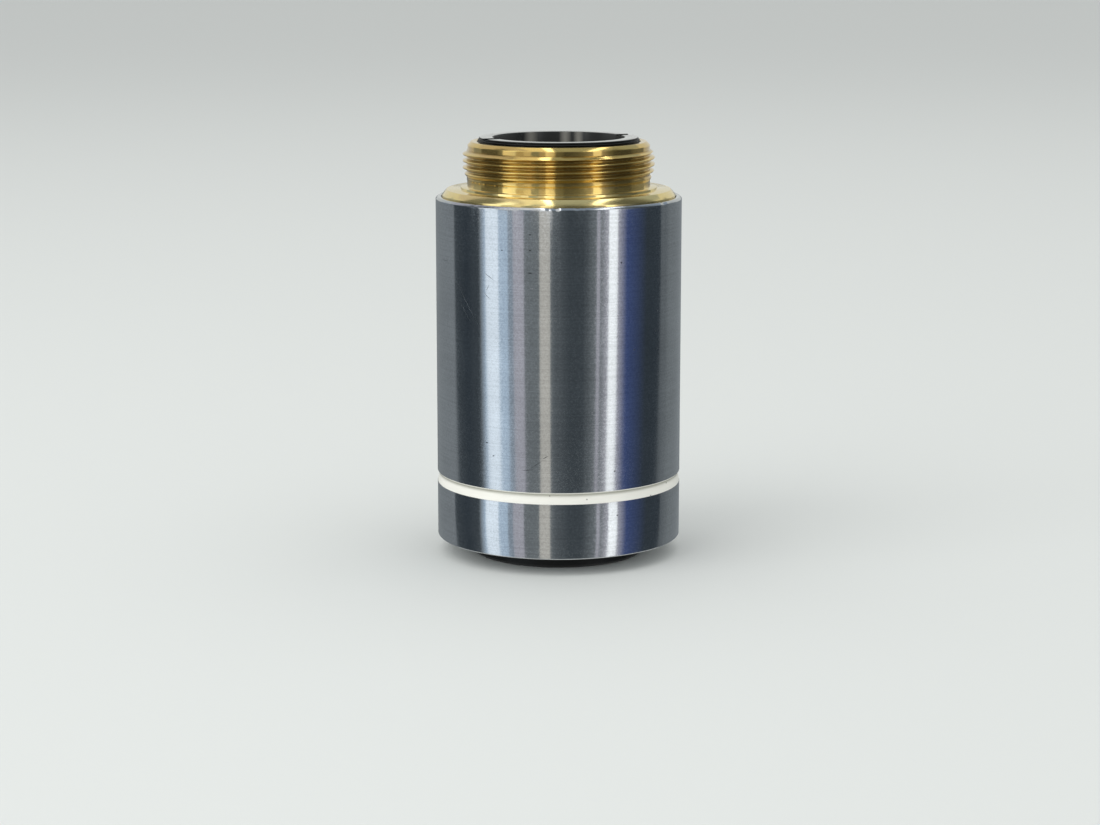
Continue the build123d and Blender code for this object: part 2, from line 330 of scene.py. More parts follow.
def marks_mask(tree, wall, radius, marks, core=0.4):
    """Mask of oval marks, each given as degrees from the front, height, length, width and slope, which fade
    from their core, a share of their size, to their edge."""
    worst = None
    for degrees, height, long_side, short_side, slope in marks:
        oval = {
            "Vector": wall,
            "Location": (math.radians(degrees) * radius / MM, height, 0),
            "Rotation": (0, 0, math.radians(slope)),
            "Scale": (long_side / 2, short_side / 2, 1),
        }
        inside = add(tree, "Mapping", oval, vector_type="TEXTURE")
        away = add(tree, "VectorMath", {0: inside}, out="Value", operation="LENGTH")
        mask = add(tree, "MapRange", {"Value": away, "From Min": 1, "From Max": core})
        worst = mask if worst is None else add(tree, "Math", {0: worst, 1: mask}, operation="MAXIMUM")
    return worst


# Marks on the sleeve: degrees from the front, height, length, width, slope, in millimetres and degrees
SLEEVE_PITS = [
    (-26.5, 33.8, 0.2, 0.18, 0),
    (-13.1, 35.5, 0.3, 0.15, 0),
    (-13.1, 33.9, 0.28, 0.16, 0),
    (-13.1, 31.6, 0.55, 0.13, 0),
    (29.2, 32.5, 0.26, 0.22, 0),
    (27.7, 6.2, 0.22, 0.18, 0),
    (26.2, 10.9, 0.26, 0.18, 20),
    (-34.9, 13.7, 0.36, 0.16, 0),
    (-31.3, 12.4, 0.34, 0.14, 15),
    (-14.5, 11.2, 1.4, 0.06, 8),
    (-10.3, 11.8, 1.5, 0.06, 34),
    (-6.1, 12.6, 0.7, 0.1, 28),
    (118, 22.5, 0.3, 0.2, 0),
    (163, 14.1, 0.4, 0.18, 10),
    (-141, 27.6, 0.3, 0.22, 0),
]
SLEEVE_SCRATCHES = [
    (-46.5, 27.9, 5.6, 0.11, -52),
    (-48.5, 27.2, 3.4, 0.09, -50),
    (-33.2, 31.0, 1.7, 0.09, -30),
    (-34, 29.9, 0.9, 0.08, 60),
    (-34.6, 29.0, 1.2, 0.08, -40),
    (-65, 32.0, 1.7, 0.08, 3),
    (-12.4, 30.0, 0.8, 0.12, 0),
    (51.8, 27.1, 0.2, 0.2, 0),
    (50.2, 25.0, 0.18, 0.18, 0),
    (51.6, 23.2, 0.2, 0.2, 0),
    (36.5, 23.4, 0.18, 0.18, 0),
    (71, 24.0, 4.2, 0.06, 64),
    (139, 30.5, 5.0, 0.06, -38),
    (-118, 17.0, 4.4, 0.06, 41),
    (176, 21.0, 3.0, 0.06, 12),
]
# Streaks of painted reflection down the rear bore, given in the same way
BORE_STREAKS = [
    (-154.5, 42.5, 12, 1.8, 90),
    (174, 42.5, 12, 1.4, 90),
    (162, 42.5, 12, 1.2, 90),
    (-35, 42.5, 12, 1.6, 90),
    (58, 42.5, 12, 1.3, 90),
]
# Burrs left where the thread runs out: degrees from the front, height and size
RUN_OUT_BURRS = [
    (-68, 39.93, 0.24),
    (-63, 39.95, 0.2),
    (-58.5, 39.93, 0.26),
    (-53.5, 39.92, 0.2),
    (-43, 39.9, 0.16),
]
# Scratches on the brass neck, given as on the sleeve
BRASS_SCRATCHES = [
    (31.8, 39.5, 0.7, 0.07, 88),
    (-128, 39.6, 0.6, 0.06, 80),
]


def satin_chrome(colours):
    """Chrome plate over turned metal, lapped round and round: it smears reflections up and down into clean
    upright stripes, with a fine grain in the bright ones, a few pits and hairline scratches."""
    material, tree, shader = new_finish("satin_chrome")
    radius = sleeve_high.x
    place = add(tree, "TexCoord", out="Object")
    # Lapping lines are about 0.03 mm apart, drawn at 0.14 mm so that they show
    along, apart = per_mm(9), per_mm(0.14)
    lap = add(tree, "Mapping", {"Vector": place, "Scale": (along, along, apart)})
    lines = add(tree, "TexNoise", {"Vector": lap, "Scale": 1, "Detail": 2, "Roughness": 0.6})
    grain = add(tree, "TexNoise", {"Vector": place, "Scale": per_mm(0.22), "Detail": 2, "Roughness": 0.7})
    cloud = add(tree, "TexNoise", {"Vector": place, "Scale": per_mm(6), "Detail": 3})
    wall = unrolled_wall(tree, radius)
    pits = marks_mask(tree, wall, radius, SLEEVE_PITS)
    scratches = marks_mask(tree, wall, radius, SLEEVE_SCRATCHES)
    relief = add(tree, "Math", {0: lines, 1: 0.6, 2: grain}, operation="MULTIPLY_ADD")
    speckled = add(tree, "MapRange", {"Value": relief, "From Min": 0.55, "From Max": 0.95})
    chrome = colours.chrome
    plate = add(tree, "Mix", {0: speckled, 6: rgba(chrome, 0.8), 7: rgba(chrome)}, **COLOUR_MIX)
    patches = add(tree, "MapRange", {"Value": cloud, "From Min": 0.35, "From Max": 0.65, "To Min": 0.9})
    mottled = add(tree, "VectorMath", {0: plate, "Scale": patches}, operation="SCALE")
    pitted = add(tree, "Mix", {0: pits, 6: mottled, 7: rgba(linear("#3A3C3E"))}, **COLOUR_MIX)
    polish = {"Value": cloud, "From Min": 0.3, "From Max": 0.7, "To Min": 0.135, "To Max": 0.16}
    roughness = add(tree, "MapRange", polish)
    specks = add(tree, "MapRange", {"Value": grain, "From Min": 0.45, "From Max": 0.75, "To Max": 0.14})
    marked = add(tree, "Math", {0: scratches, 1: specks}, operation="MAXIMUM")
    worn = add(tree, "Math", {0: marked, 1: 0.7, 2: roughness}, operation="MULTIPLY_ADD")
    cut = add(tree, "Math", {0: scratches, 1: -2.5, 2: relief}, operation="MULTIPLY_ADD")
    bump = add(tree, "Bump", {"Height": cut, "Strength": 0.12, "Distance": 0.004 * MM})
    fill(tree, shader, {"Base Color": pitted, "Metallic": 1.0, "Roughness": worn, "Normal": bump})
    brush_round(tree, shader, 1.0)
    return material


def white_enamel(colours):
    """Baked enamel run into the groove: glossy off-white with faint flow marks, a few dark specks and a
    painted shade under its upper edge.
    """
    material, tree, shader = new_finish("white_enamel")
    place = add(tree, "TexCoord", out="Object")
    run = add(tree, "Mapping", {"Vector": place, "Scale": (per_mm(3), per_mm(3), per_mm(0.3))})
    flow = add(tree, "TexNoise", {"Vector": run, "Scale": 1, "Detail": 2})
    spread = add(tree, "Mapping", {"Vector": place, "Scale": (per_mm(1.3),) * 3})
    away = add(tree, "TexVoronoi", {"Vector": spread, "Scale": 1}, out="Distance")
    specks = add(tree, "MapRange", {"Value": away, "From Min": 0.1, "From Max": 0.05})
    # A thin darker line of painted shade lies under the groove's upper edge, where the lip shades the enamel
    height = add(tree, "SeparateXYZ", {0: place}, out="Z")
    top = band_high.z
    lip = add(tree, "MapRange", {"Value": height, "From Min": top - 0.08 * MM, "From Max": top - 0.13 * MM})
    below_lip = {"Value": height, "From Min": top - 0.5 * MM, "From Max": top - 0.2 * MM, "To Max": 0.8}
    fading = add(tree, "MapRange", below_lip)
    lip_shade = add(tree, "Math", {0: lip, 1: fading}, operation="MULTIPLY")
    coat = add(tree, "Mix", {0: flow, 6: rgba(colours.enamel), 7: rgba(colours.enamel, 0.9)}, **COLOUR_MIX)
    shaded_coat = add(tree, "Mix", {0: lip_shade, 6: coat, 7: rgba(linear("#9A9887"))}, **COLOUR_MIX)
    dirty = add(tree, "Mix", {0: specks, 6: shaded_coat, 7: rgba(linear("#5A564D"))}, **COLOUR_MIX)
    bump = add(tree, "Bump", {"Height": flow, "Strength": 0.25, "Distance": 0.02 * MM})
    fill(tree, shader, {"Base Color": dirty, "Roughness": 0.32, "IOR": 1.52, "Normal": bump})
    return material


def turned_brass(colours):
    """Bright brass as it leaves the lathe: fine feed rings that smear reflections across themselves, brown oil
    in the roots of the thread, painted shade under its crests and by the burrs, and a paler painted sheen on
    the shoulder."""
    material, tree, shader = new_finish("turned_brass")
    sizes = bpy.context.scene.objective_sizes
    place = add(tree, "TexCoord", out="Object")
    radius, height, across = lathe_place(tree)
    # Feed rings are about 0.05 mm apart, drawn at 0.12 mm so that they show
    rings = add(tree, "TexNoise", {"Vector": across, "Scale": per_mm(0.12), "Detail": 2, "Roughness": 0.7})
    patch = add(tree, "TexNoise", {"Vector": place, "Scale": per_mm(2.4), "Detail": 4})
    grain = add(tree, "TexNoise", {"Vector": place, "Scale": per_mm(0.15), "Detail": 1})
    # Oil browns the roots, and the same brown is painted shade on the faces that look down, from the neck up
    # to the pilot's chamfer
    root_radius = thread_crest - THREAD_DEPTH * sizes.pitch
    near_root = {"Value": radius, "From Min": root_radius + 0.2 * MM, "From Max": root_radius, "To Max": 0.5}
    root = add(tree, "MapRange", near_root)
    facing = add(tree, "SeparateXYZ", {0: add(tree, "NewGeometry", out="Normal")}, out="Z")
    underside_shade = add(tree, "MapRange", {"Value": facing, "From Min": -0.15, "From Max": -0.65, "To Max": 0.6})
    root_oil_and_underside_shade = add(tree, "Math", {0: root, 1: underside_shade}, operation="MAXIMUM")
    neck = seat_height + sizes.relief_width
    above_neck = add(tree, "MapRange", {"Value": height, "From Min": neck, "From Max": neck + 0.35 * MM})
    pilot = mount_high.z - sizes.pilot_chamfer - 0.02 * MM
    below_pilot = add(tree, "MapRange", {"Value": height, "From Min": pilot, "From Max": pilot - 0.07 * MM})
    in_thread = add(tree, "Math", {0: above_neck, 1: below_pilot}, operation="MULTIPLY")
    oil_and_shade = add(tree, "Math", {0: root_oil_and_underside_shade, 1: in_thread}, operation="MULTIPLY")
    bare = add(tree, "Mix", {0: patch, 6: rgba(colours.brass), 7: rgba(colours.brass, 0.75)}, **COLOUR_MIX)
    oiled_and_shaded = add(tree, "Mix", {0: oil_and_shade, 6: bare, 7: rgba(colours.thread_oil_and_shade)}, **COLOUR_MIX)
    # The shoulder, up to the collar's top, is painted paler as a painted sheen
    collar = seat_height + sizes.collar_height
    shoulder = add(tree, "MapRange", {"Value": height, "From Min": collar + 0.1 * MM, "From Max": collar})
    painted_sheen = add(tree, "Mix", {0: shoulder, 6: oiled_and_shaded, 7: rgba(linear("#F2DB97"))}, **COLOUR_MIX)
    # Each burr has a painted shadow, a dark spot on its right
    wall = unrolled_wall(tree, thread_crest)
    burr_shadows = [(degrees + 2, rise, 0.16, 0.24, 0) for degrees, rise, size in RUN_OUT_BURRS]
    burr_shadow_mask = marks_mask(tree, wall, thread_crest, burr_shadows)
    dark = add(tree, "Mix", {0: burr_shadow_mask, 6: painted_sheen, 7: rgba(linear("#3A2D16"))}, **COLOUR_MIX)
    polish = {"Value": patch, "From Min": 0.3, "From Max": 0.7, "To Min": 0.13, "To Max": 0.17}
    roughness = add(tree, "MapRange", polish)
    scratches = marks_mask(tree, wall, thread_crest, BRASS_SCRATCHES)
    cut = add(tree, "Math", {0: scratches, 1: -2, 2: rings}, operation="MULTIPLY_ADD")
    relief = add(tree, "Math", {0: grain, 1: 0.35, 2: cut}, operation="MULTIPLY_ADD")
    bump = add(tree, "Bump", {"Height": relief, "Strength": 0.2, "Distance": 0.006 * MM})
    fill(tree, shader, {"Base Color": dark, "Metallic": 0.96, "Roughness": roughness, "Normal": bump})
    brush_round(tree, shader, 0.9)
    return material


def black_anodised(colours):
    """Aluminium, turned and then anodised black: deep black with a low gloss that turns pale at a flat
    angle."""
    material, tree, shader = new_finish("black_anodised_aluminium")
    sizes = bpy.context.scene.objective_sizes
    place = add(tree, "TexCoord", out="Object")
    radius, height, across = lathe_place(tree)
    # Tool rings are about 0.06 mm apart, drawn at 0.15 mm so that they show
    rings = add(tree, "TexNoise", {"Vector": across, "Scale": per_mm(0.15), "Detail": 2})
    patch = add(tree, "TexNoise", {"Vector": place, "Scale": per_mm(1.8), "Detail": 3})
    dye = add(tree, "Mix", {0: patch, 6: rgba(colours.black), 7: rgba(colours.black, 1.9)}, **COLOUR_MIX)
    # The rear bore is painted greyer as a painted sheen, with soft upright streaks of painted reflection
    bore = ring_high.x - sizes.ring_wall
    painted_sheen = marks_mask(tree, unrolled_wall(tree, bore), bore, BORE_STREAKS, core=0)
    grey = add(tree, "Mix", {0: painted_sheen, 6: rgba(linear("#303130")), 7: rgba(linear("#8E8C84"))}, **COLOUR_MIX)
    bore_wall = {"Value": radius, "From Min": bore + 0.05 * MM, "From Max": bore + 0.02 * MM}
    inside = add(tree, "MapRange", bore_wall)
    nose_top = nose_high.z
    upper = add(tree, "MapRange", {"Value": height, "From Min": nose_top, "From Max": nose_top + MM})
    in_bore = add(tree, "Math", {0: inside, 1: upper}, operation="MULTIPLY")
    skin = add(tree, "Mix", {0: in_bore, 6: dye, 7: grey}, **COLOUR_MIX)
    polish = {"Value": patch, "From Min": 0.3, "From Max": 0.7, "To Min": 0.2, "To Max": 0.28}
    gloss = add(tree, "MapRange", polish)
    # The outer walls are left matt, the rest is polished a little by handling and wiping
    rim = ring_high.x - sizes.ring_rim
    outer_wall = {"Value": radius, "From Min": rim - 0.06 * MM, "From Max": rim - 0.02 * MM, "To Max": 0.45}
    matt = add(tree, "MapRange", outer_wall)
    roughness = add(tree, "Math", {0: gloss, 1: matt}, operation="ADD")
    # Faces that look up are sealed smooth and mirror the backdrop at a flat angle
    facing = add(tree, "SeparateXYZ", {0: add(tree, "NewGeometry", out="Normal")}, out="Z")
    sealed = add(tree, "MapRange", {"Value": facing, "From Min": 0.9, "From Max": 0.98})
    bump = add(tree, "Bump", {"Height": rings, "Strength": 0.25, "Distance": 0.01 * MM})
    fill(tree, shader, {"Base Color": skin, "Roughness": roughness, "IOR": 1.4, "Normal": bump})
    fill(tree, shader, {"Coat Weight": sealed, "Coat Roughness": 0.05, "Coat IOR": 1.6})
    brush_round(tree, shader, 0.8)
    return material


def blackened_brass(colours):
    """Brass blackened in a bath, so that no light strays inside: matt brown-black, mottled."""
    material, tree, shader = new_finish("blackened_brass")
    place = add(tree, "TexCoord", out="Object")
    mottle = add(tree, "TexNoise", {"Vector": place, "Scale": per_mm(0.8), "Detail": 4})
    pair = {6: rgba(colours.blackened), 7: rgba(colours.blackened, 1.8)}
    bath = add(tree, "Mix", {0: mottle, **pair}, **COLOUR_MIX)
    bump = add(tree, "Bump", {"Height": mottle, "Strength": 0.2, "Distance": 0.01 * MM})
    fill(tree, shader, {"Base Color": bath, "Metallic": 0.3, "Roughness": 0.55, "Normal": bump})
    return material


def coated_glass(colours):
    """Optical crown and flint with an anti-reflection coat: clear, with a faint violet reflection that a thin
    film of about a quarter wave gives, and a trace of dust in the polish."""
    material, tree, shader = new_finish("coated_optical_glass")
    place = add(tree, "TexCoord", out="Object")
    dust = add(tree, "TexNoise", {"Vector": place, "Scale": per_mm(0.5), "Detail": 3})
    haze = add(tree, "MapRange", {"Value": dust, "From Min": 0.55, "From Max": 0.8, "To Max": 0.05})
    clear = {"Base Color": rgba(colours.glass), "Roughness": haze, "IOR": 1.6, "Transmission Weight": 1.0}
    fill(tree, shader, clear)
    fill(tree, shader, {"Thin Film Thickness": 105.0, "Thin Film IOR": 1.38})
    return material


FINISHES = {
    "satin_barrel": satin_chrome,
    "white_enamel": white_enamel,
    "turned_brass": turned_brass,
    "black_anodised": black_anodised,
    "blackened_brass": blackened_brass,
    "coated_glass": coated_glass,
}
made_finishes = {}


def finish_for(slot):
    """The finish of a material slot, made once."""
    if slot not in made_finishes:
        made_finishes[slot] = FINISHES[slot](bpy.context.scene.objective_colours)
    return made_finishes[slot]


# Pieces

# Small dents on the sleeve's upper rim: degrees from the front, and how far they go in
RIM_NICKS = [
    (-4.5, 0.05),
    (-1.7, 0.07),
    (8.5, 0.06),
    (11.2, 0.04),
    (-42, 0.04),
    (57, 0.05),
    (131, 0.06),
    (-155, 0.05),
]
NICK_SIDE = 0.75  # half of a nick's width, in flats round the sleeve
NICK_ZONE = 1.3  # how far down and in from the rim a nick moves the metal, in chamfers


class OBJECTIVE_OT_sleeve(Operator):
    """Turn the satin outer sleeve with its groove, mouth and rim"""

    bl_idname = "objective.sleeve"
    bl_label = "Outer sleeve"

    def execute(self, context):
        sizes = context.scene.objective_sizes
        outer, low, high = sleeve_high.x, sleeve_low.z, sleeve_high.z
        groove = outer - sizes.groove_depth
        mouth = outer - sizes.rim_width
        fit = mount_high.x - sizes.flange_step + sizes.turned_fit
        inner = outer - sizes.sleeve_wall
        hole = nose_high.x + sizes.nose_gap
        outline = [
            (hole, low),
            (outer - sizes.foot_chamfer, low),
            (outer, low + sizes.foot_chamfer),
            (outer, band_low.z),
            (groove, band_low.z),
            (groove, band_high.z),
            (outer, band_high.z),
            (outer, high - sizes.rim_chamfer - sizes.nick_reach),
            (outer, high - sizes.rim_chamfer),
            (outer - sizes.rim_chamfer, high),
            (mouth, high),
            (mouth, high - sizes.mouth_depth),
            (fit, high - sizes.mouth_depth),
            (fit, mount_low.z),
            (inner, mount_low.z),
            (inner, low + sizes.sleeve_floor),
            (hole, low + sizes.sleeve_floor),
        ]
        piece = turn("sleeve", outline, sizes.steps)
        break_edges(piece, sizes.edge_break)
        self.dent_rim(piece, sizes)
        finish_piece(piece, finish_for("satin_barrel"), "outer_sleeve")
        return {"FINISHED"}

    def dent_rim(self, piece, sizes):
        """Pushes small nicks into the upper rim's chamfer."""
        make_active(piece)
        bpy.ops.object.mode_set(mode="EDIT")
        reach = NICK_SIDE * 360 / sizes.steps
        foot = sleeve_high.z - NICK_ZONE * sizes.rim_chamfer
        wall = sleeve_high.x - NICK_ZONE * sizes.rim_chamfer
        for degrees, depth in RIM_NICKS:
            select_vertices(
                piece,
                lambda v: v.co.z > foot and v.co.xy.length > wall and abs(from_front(v.co) - degrees) < reach,
            )
            way = math.radians(degrees)
            inward = (-math.sin(way) * depth * MM, math.cos(way) * depth * MM, -depth * MM)
            bpy.ops.transform.translate(value=inward)
        bpy.ops.object.mode_set(mode="OBJECT")


class OBJECTIVE_OT_band(Operator):
    """Turn the enamel band that fills the sleeve's groove"""

    bl_idname = "objective.band"
    bl_label = "Enamel band"

    def execute(self, context):
        sizes = context.scene.objective_sizes
        floor = sleeve_high.x - sizes.groove_depth
        tall = band_high.z - band_low.z
        # The dip is deepest above the middle, so that its upper part looks down
        hollow = []
        for part in range(ENAMEL_FLATS + 1):
            share = part / ENAMEL_FLATS
            dip = sizes.enamel_hollow * math.sin(math.pi * share**ENAMEL_SKEW)
            hollow.append((band_high.x - dip, band_low.z + tall * share))
        outline = [(floor, band_low.z)] + hollow + [(floor, band_high.z)]
        piece = turn("enamel_band", outline, sizes.steps)
        finish_piece(piece, finish_for("white_enamel"), "colour_band")
        return {"FINISHED"}


class OBJECTIVE_OT_mount(Operator):
    """Turn the brass mount and cut its right-hand thread"""

    bl_idname = "objective.mount"
    bl_label = "Brass thread mount"

    def execute(self, context):
        sizes = context.scene.objective_sizes
        root = thread_crest - THREAD_DEPTH * sizes.pitch
        neck = root - NECK_UNDERCUT
        pilot = root - PILOT_STEP
        top = mount_high.z
        thread_low = seat_height + sizes.relief_width
        thread_high = top - sizes.pilot_height
        collar = neck + sizes.collar_width
        shoulder = mount_high.x
        flange_low = sleeve_high.z - sizes.mouth_depth + sizes.turned_fit
        skirt = shoulder - sizes.flange_step
        bore = tube_high.x + sizes.turned_fit
        stop = tube_high.z + TUBE_STOP_GAP
        ring_hole = ring_high.x + sizes.turned_fit
        web = ring_high.x - sizes.ring_wall + WEB_STEP
        outline = [
            (neck, thread_low - RIM_STEP),
            (neck, seat_height + sizes.collar_height),
            (collar, seat_height + sizes.collar_height),
            (collar, seat_height),
            (shoulder - sizes.bevel_width, seat_height),
            (shoulder, seat_height - sizes.bevel_height),
            (shoulder, flange_low),
            (skirt, flange_low),
            (skirt, mount_low.z),
            (bore, mount_low.z),
            (bore, stop),
            (web, stop),
            (web, ring_low.z),
            (ring_hole, ring_low.z),
            (ring_hole, top),
            (pilot - sizes.pilot_chamfer, top),
            (pilot, top - sizes.pilot_chamfer),
            (pilot, thread_high + RIM_STEP),
        ]
        body = turn("brass_mount", outline, sizes.steps, closed=False)
        break_edges(body, sizes.edge_break)
        thread = self.cut_thread(sizes, root, thread_low, thread_high)
        make_active(thread)
        body.select_set(True)
        context.view_layer.objects.active = body
        bpy.ops.object.join()
        bpy.ops.object.mode_set(mode="EDIT")
        for height in (thread_low, thread_high):
            self.select_rims(body, height, 2 * RIM_STEP)
            bpy.ops.mesh.bridge_edge_loops()
        clean_mesh()
        bpy.ops.object.mode_set(mode="OBJECT")
        self.add_burrs(context, body, neck)
        finish_piece(body, finish_for("turned_brass"), "thread_mount")
        return {"FINISHED"}

    def cut_thread(self, sizes, root, low, high):
        """Winds one pitch of the thread's outline up the axis, chamfers its start and fades its run-out."""
        pitch = sizes.pitch
        crest = seat_height + sizes.crest_rise
        last = crest + math.ceil((high - crest) / pitch + 0.5) * pitch
        outline = [(radius, last + rise) for radius, rise in self.one_pitch(pitch, root)]
        turns = math.ceil((last - low) / pitch) + 1
        thread = begin("thread", outline)
        bpy.ops.mesh.select_all(action="SELECT")
        # The screw winds downwards, and round this axis that makes a right-hand thread
        bpy.ops.mesh.screw(steps=sizes.steps, turns=turns, center=(0, 0, 0), axis=(0, 0, -1))
        clean_mesh()
        mesh = bmesh.from_edit_mesh(thread.data)
        for vertex in mesh.verts:
            radius = vertex.co.xy.length
            fade = min(max((vertex.co.z - low) / sizes.run_out, 0), 1)
            start = min(max((high - vertex.co.z) / sizes.lead_in, 0), 1)
            kept = root + min((radius - root) * fade, (thread_crest - root) * start)
            vertex.co.xy *= kept / radius
        bmesh.update_edit_mesh(thread.data)
        bpy.ops.mesh.select_all(action="SELECT")
        bpy.ops.mesh.bisect(plane_co=(0, 0, low), plane_no=(0, 0, 1), clear_inner=True, threshold=MERGE)
        bpy.ops.mesh.select_all(action="SELECT")
        bpy.ops.mesh.bisect(plane_co=(0, 0, high), plane_no=(0, 0, 1), clear_outer=True, threshold=MERGE)
        clean_mesh()
        bpy.ops.object.mode_set(mode="OBJECT")
        return thread

    def one_pitch(self, pitch, root):
        """Radius and rise along one pitch from root to root, with the crest and the roots rounded."""
        rounding = THREAD_ROUNDING * pitch
        angles = [THREAD_BEND * step / ARC_STEPS for step in range(ARC_STEPS + 1)]
        half_root = [
            (root + rounding * (1 - math.cos(angle)), rounding * math.sin(angle) - pitch / 2)
            for angle in angles
        ]
        half_crest = [
            (thread_crest - rounding * (1 - math.cos(angle)), -rounding * math.sin(angle))
            for angle in reversed(angles)
        ]
        lower = half_root + half_crest
        upper = [(radius, -rise) for radius, rise in reversed(lower[:-1])]
        return lower + upper

    def select_rims(self, piece, height, reach):
        """Selects the two open rims near a height."""
        mesh = bmesh.from_edit_mesh(piece.data)
        bpy.ops.mesh.select_all(action="DESELECT")
        for edge in mesh.edges:
            near = all(abs(vertex.co.z - height) < reach for vertex in edge.verts)
            edge.select_set(edge.is_boundary and near)
        bmesh.update_edit_mesh(piece.data)

    def add_burrs(self, context, body, neck):
        """Sets small brass burrs on the neck under the run-out."""
        for degrees, height, size in RUN_OUT_BURRS:
            way = math.radians(degrees)
            bpy.ops.object.select_all(action="DESELECT")
            bpy.ops.mesh.primitive_ico_sphere_add(
                subdivisions=2,
                radius=size / 2 * MM,
                location=(neck * math.sin(way), -neck * math.cos(way), height * MM),
            )
            burr = context.object
            bpy.ops.object.transform_apply(location=True)
            burr.select_set(True)
            body.select_set(True)
            context.view_layer.objects.active = body
            bpy.ops.object.join()


class OBJECTIVE_OT_rear_ring(Operator):
    """Turn the black rear ring and cut its spanner slots"""

    bl_idname = "objective.rear_ring"
    bl_label = "Rear stop ring"

    def execute(self, context):
        sizes = context.scene.objective_sizes
        outer, low, high = ring_high.x, ring_low.z, ring_high.z
        bore = outer - sizes.ring_wall
        # The rim above the brass has two grooves, and a ridge between them
        brass = mount_high.z
        tenth = (high - brass) / 10
        groove = outer - sizes.ring_groove
        ridge = outer - sizes.ring_ridge
        rim = outer - sizes.ring_rim
        outline = [
            (bore, low),
            (outer, low),
            (outer, brass - 2 * tenth),
            (groove, brass),
            (groove, brass + tenth),
            (ridge, brass + 3 * tenth),
            (ridge, brass + 4 * tenth),
            (groove, brass + 6 * tenth),
            (rim, brass + 7 * tenth),
            (rim, high - sizes.ring_chamfer),
            (rim - sizes.ring_chamfer, high),
            (bore + sizes.ring_chamfer, high),
            (bore, high - sizes.ring_chamfer),
        ]
        piece = turn("rear_ring", outline, sizes.steps)
        break_edges(piece, sizes.edge_break / 3)
        bpy.ops.object.select_all(action="DESELECT")
        bpy.ops.mesh.primitive_cube_add(
            size=1,
            location=(0, 0, high),
            rotation=(0, 0, sizes.slot_turn),
            scale=(3 * outer, sizes.slot_width, 2 * sizes.slot_depth),
        )
        cutter = context.object
        apply_modifier(piece, "BOOLEAN", operation="DIFFERENCE", object=cutter, solver="EXACT")
        bpy.data.objects.remove(cutter)
        finish_piece(piece, finish_for("black_anodised"), "rear_stop_ring")
        return {"FINISHED"}


class OBJECTIVE_OT_nose(Operator):
    """Turn the black nose cap that holds the front lens"""

    bl_idname = "objective.nose"
    bl_label = "Nose cap"

    def execute(self, context):
        sizes = context.scene.objective_sizes
        outer, low, high = nose_high.x, nose_low.z, nose_high.z
        glass = lens_high.x
        clear = glass - sizes.lens_cover
        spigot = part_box("stack_ring")[1].x
        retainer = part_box("front_lens_retainer")[1].x
        glass_edge = lens_low.z + sizes.lens_edge
        fit = sizes.turned_fit
        outline = [
            (clear + sizes.nose_flare, low),
            (outer - sizes.nose_chamfer, low),
            (outer, low + sizes.nose_chamfer),
            (outer, tube_low.z),
            (spigot, tube_low.z),
            (spigot, high),
            (retainer + fit, high),
            (retainer + fit, glass_edge),
            (glass + fit, glass_edge),
            (glass + fit, low + sizes.nose_lip),
            (clear, low + sizes.nose_lip),
            (clear, low + sizes.nose_flare),
        ]
        piece = turn("nose", outline, sizes.steps)
        break_edges(piece, sizes.edge_break)
        finish_piece(piece, finish_for("black_anodised"), "nose_cap")
        return {"FINISHED"}


class OBJECTIVE_OT_inner_finishes(Operator):
    """Give the cells, lenses, spacers and retainers inside their finishes"""

    bl_idname = "objective.inner_finishes"
    bl_label = "Inner pieces"

    def execute(self, context):
        shown = [node for node in frame["nodes"].values() if not node.hide_render]
        if not shown:
            raise RuntimeError("the frame shows no inner pieces")
        for node in shown:
            for holder in node.material_slots:
                holder.material = finish_for(holder.material.name.split(".")[0])
        return {"FINISHED"}


# Stage

# Boards for the reflection cards
TONES = {
    "white": "#FBFDFD",
    "mist": "#DEE8F0",
    "pearl": "#CBCBC8",
    "sky": "#A6B7C7",
    "lilac": "#A1A0A7",
    "warm": "#B1AEA6",
    "steel": "#828C96",
    "pewter": "#72777A",
    "slate": "#686D6F",
    "iron": "#515659",
    "charcoal": "#3B4145",
    "coal": "#2D343A",
    "ink": "#3B4971",
}
# Lower row of cards, which the sleeve mirrors: degrees round it where the front view shows a card end, and
# the boards between which the card's colour runs
SLEEVE_CARDS = [
    (-101, "mist", "mist"),
    (-90, "coal", "charcoal"),
    (-57.2, "slate", "pewter"),
    (-48, "charcoal", "coal"),
    (-39.4, "coal", "charcoal"),
    (-36.2, "slate", "sky"),
    (-29.1, "mist", "mist"),
    (-24, "sky", "sky"),
    (-21.7, "steel", "steel"),
    (-16.3, "lilac", "lilac"),
    (-9.1, "slate", "slate"),
    (-4, "warm", "warm"),
    (-1.5, "slate", "iron"),
    (5, "iron", "charcoal"),
    (11, "charcoal", "charcoal"),
    (17.6, "charcoal", "slate"),
    (19.3, "lilac", "lilac"),
    (23.5, "slate", "lilac"),
    (28.2, "white", "white"),
    (33, "lilac", "ink"),
    (45, "ink", "coal"),
    (55, "coal", "coal"),
    (64, "iron", "slate"),
    (90, "slate", "pewter"),
    (97, "white", "mist"),
    (102, "steel", "iron"),
    (105, "coal", "coal"),
]
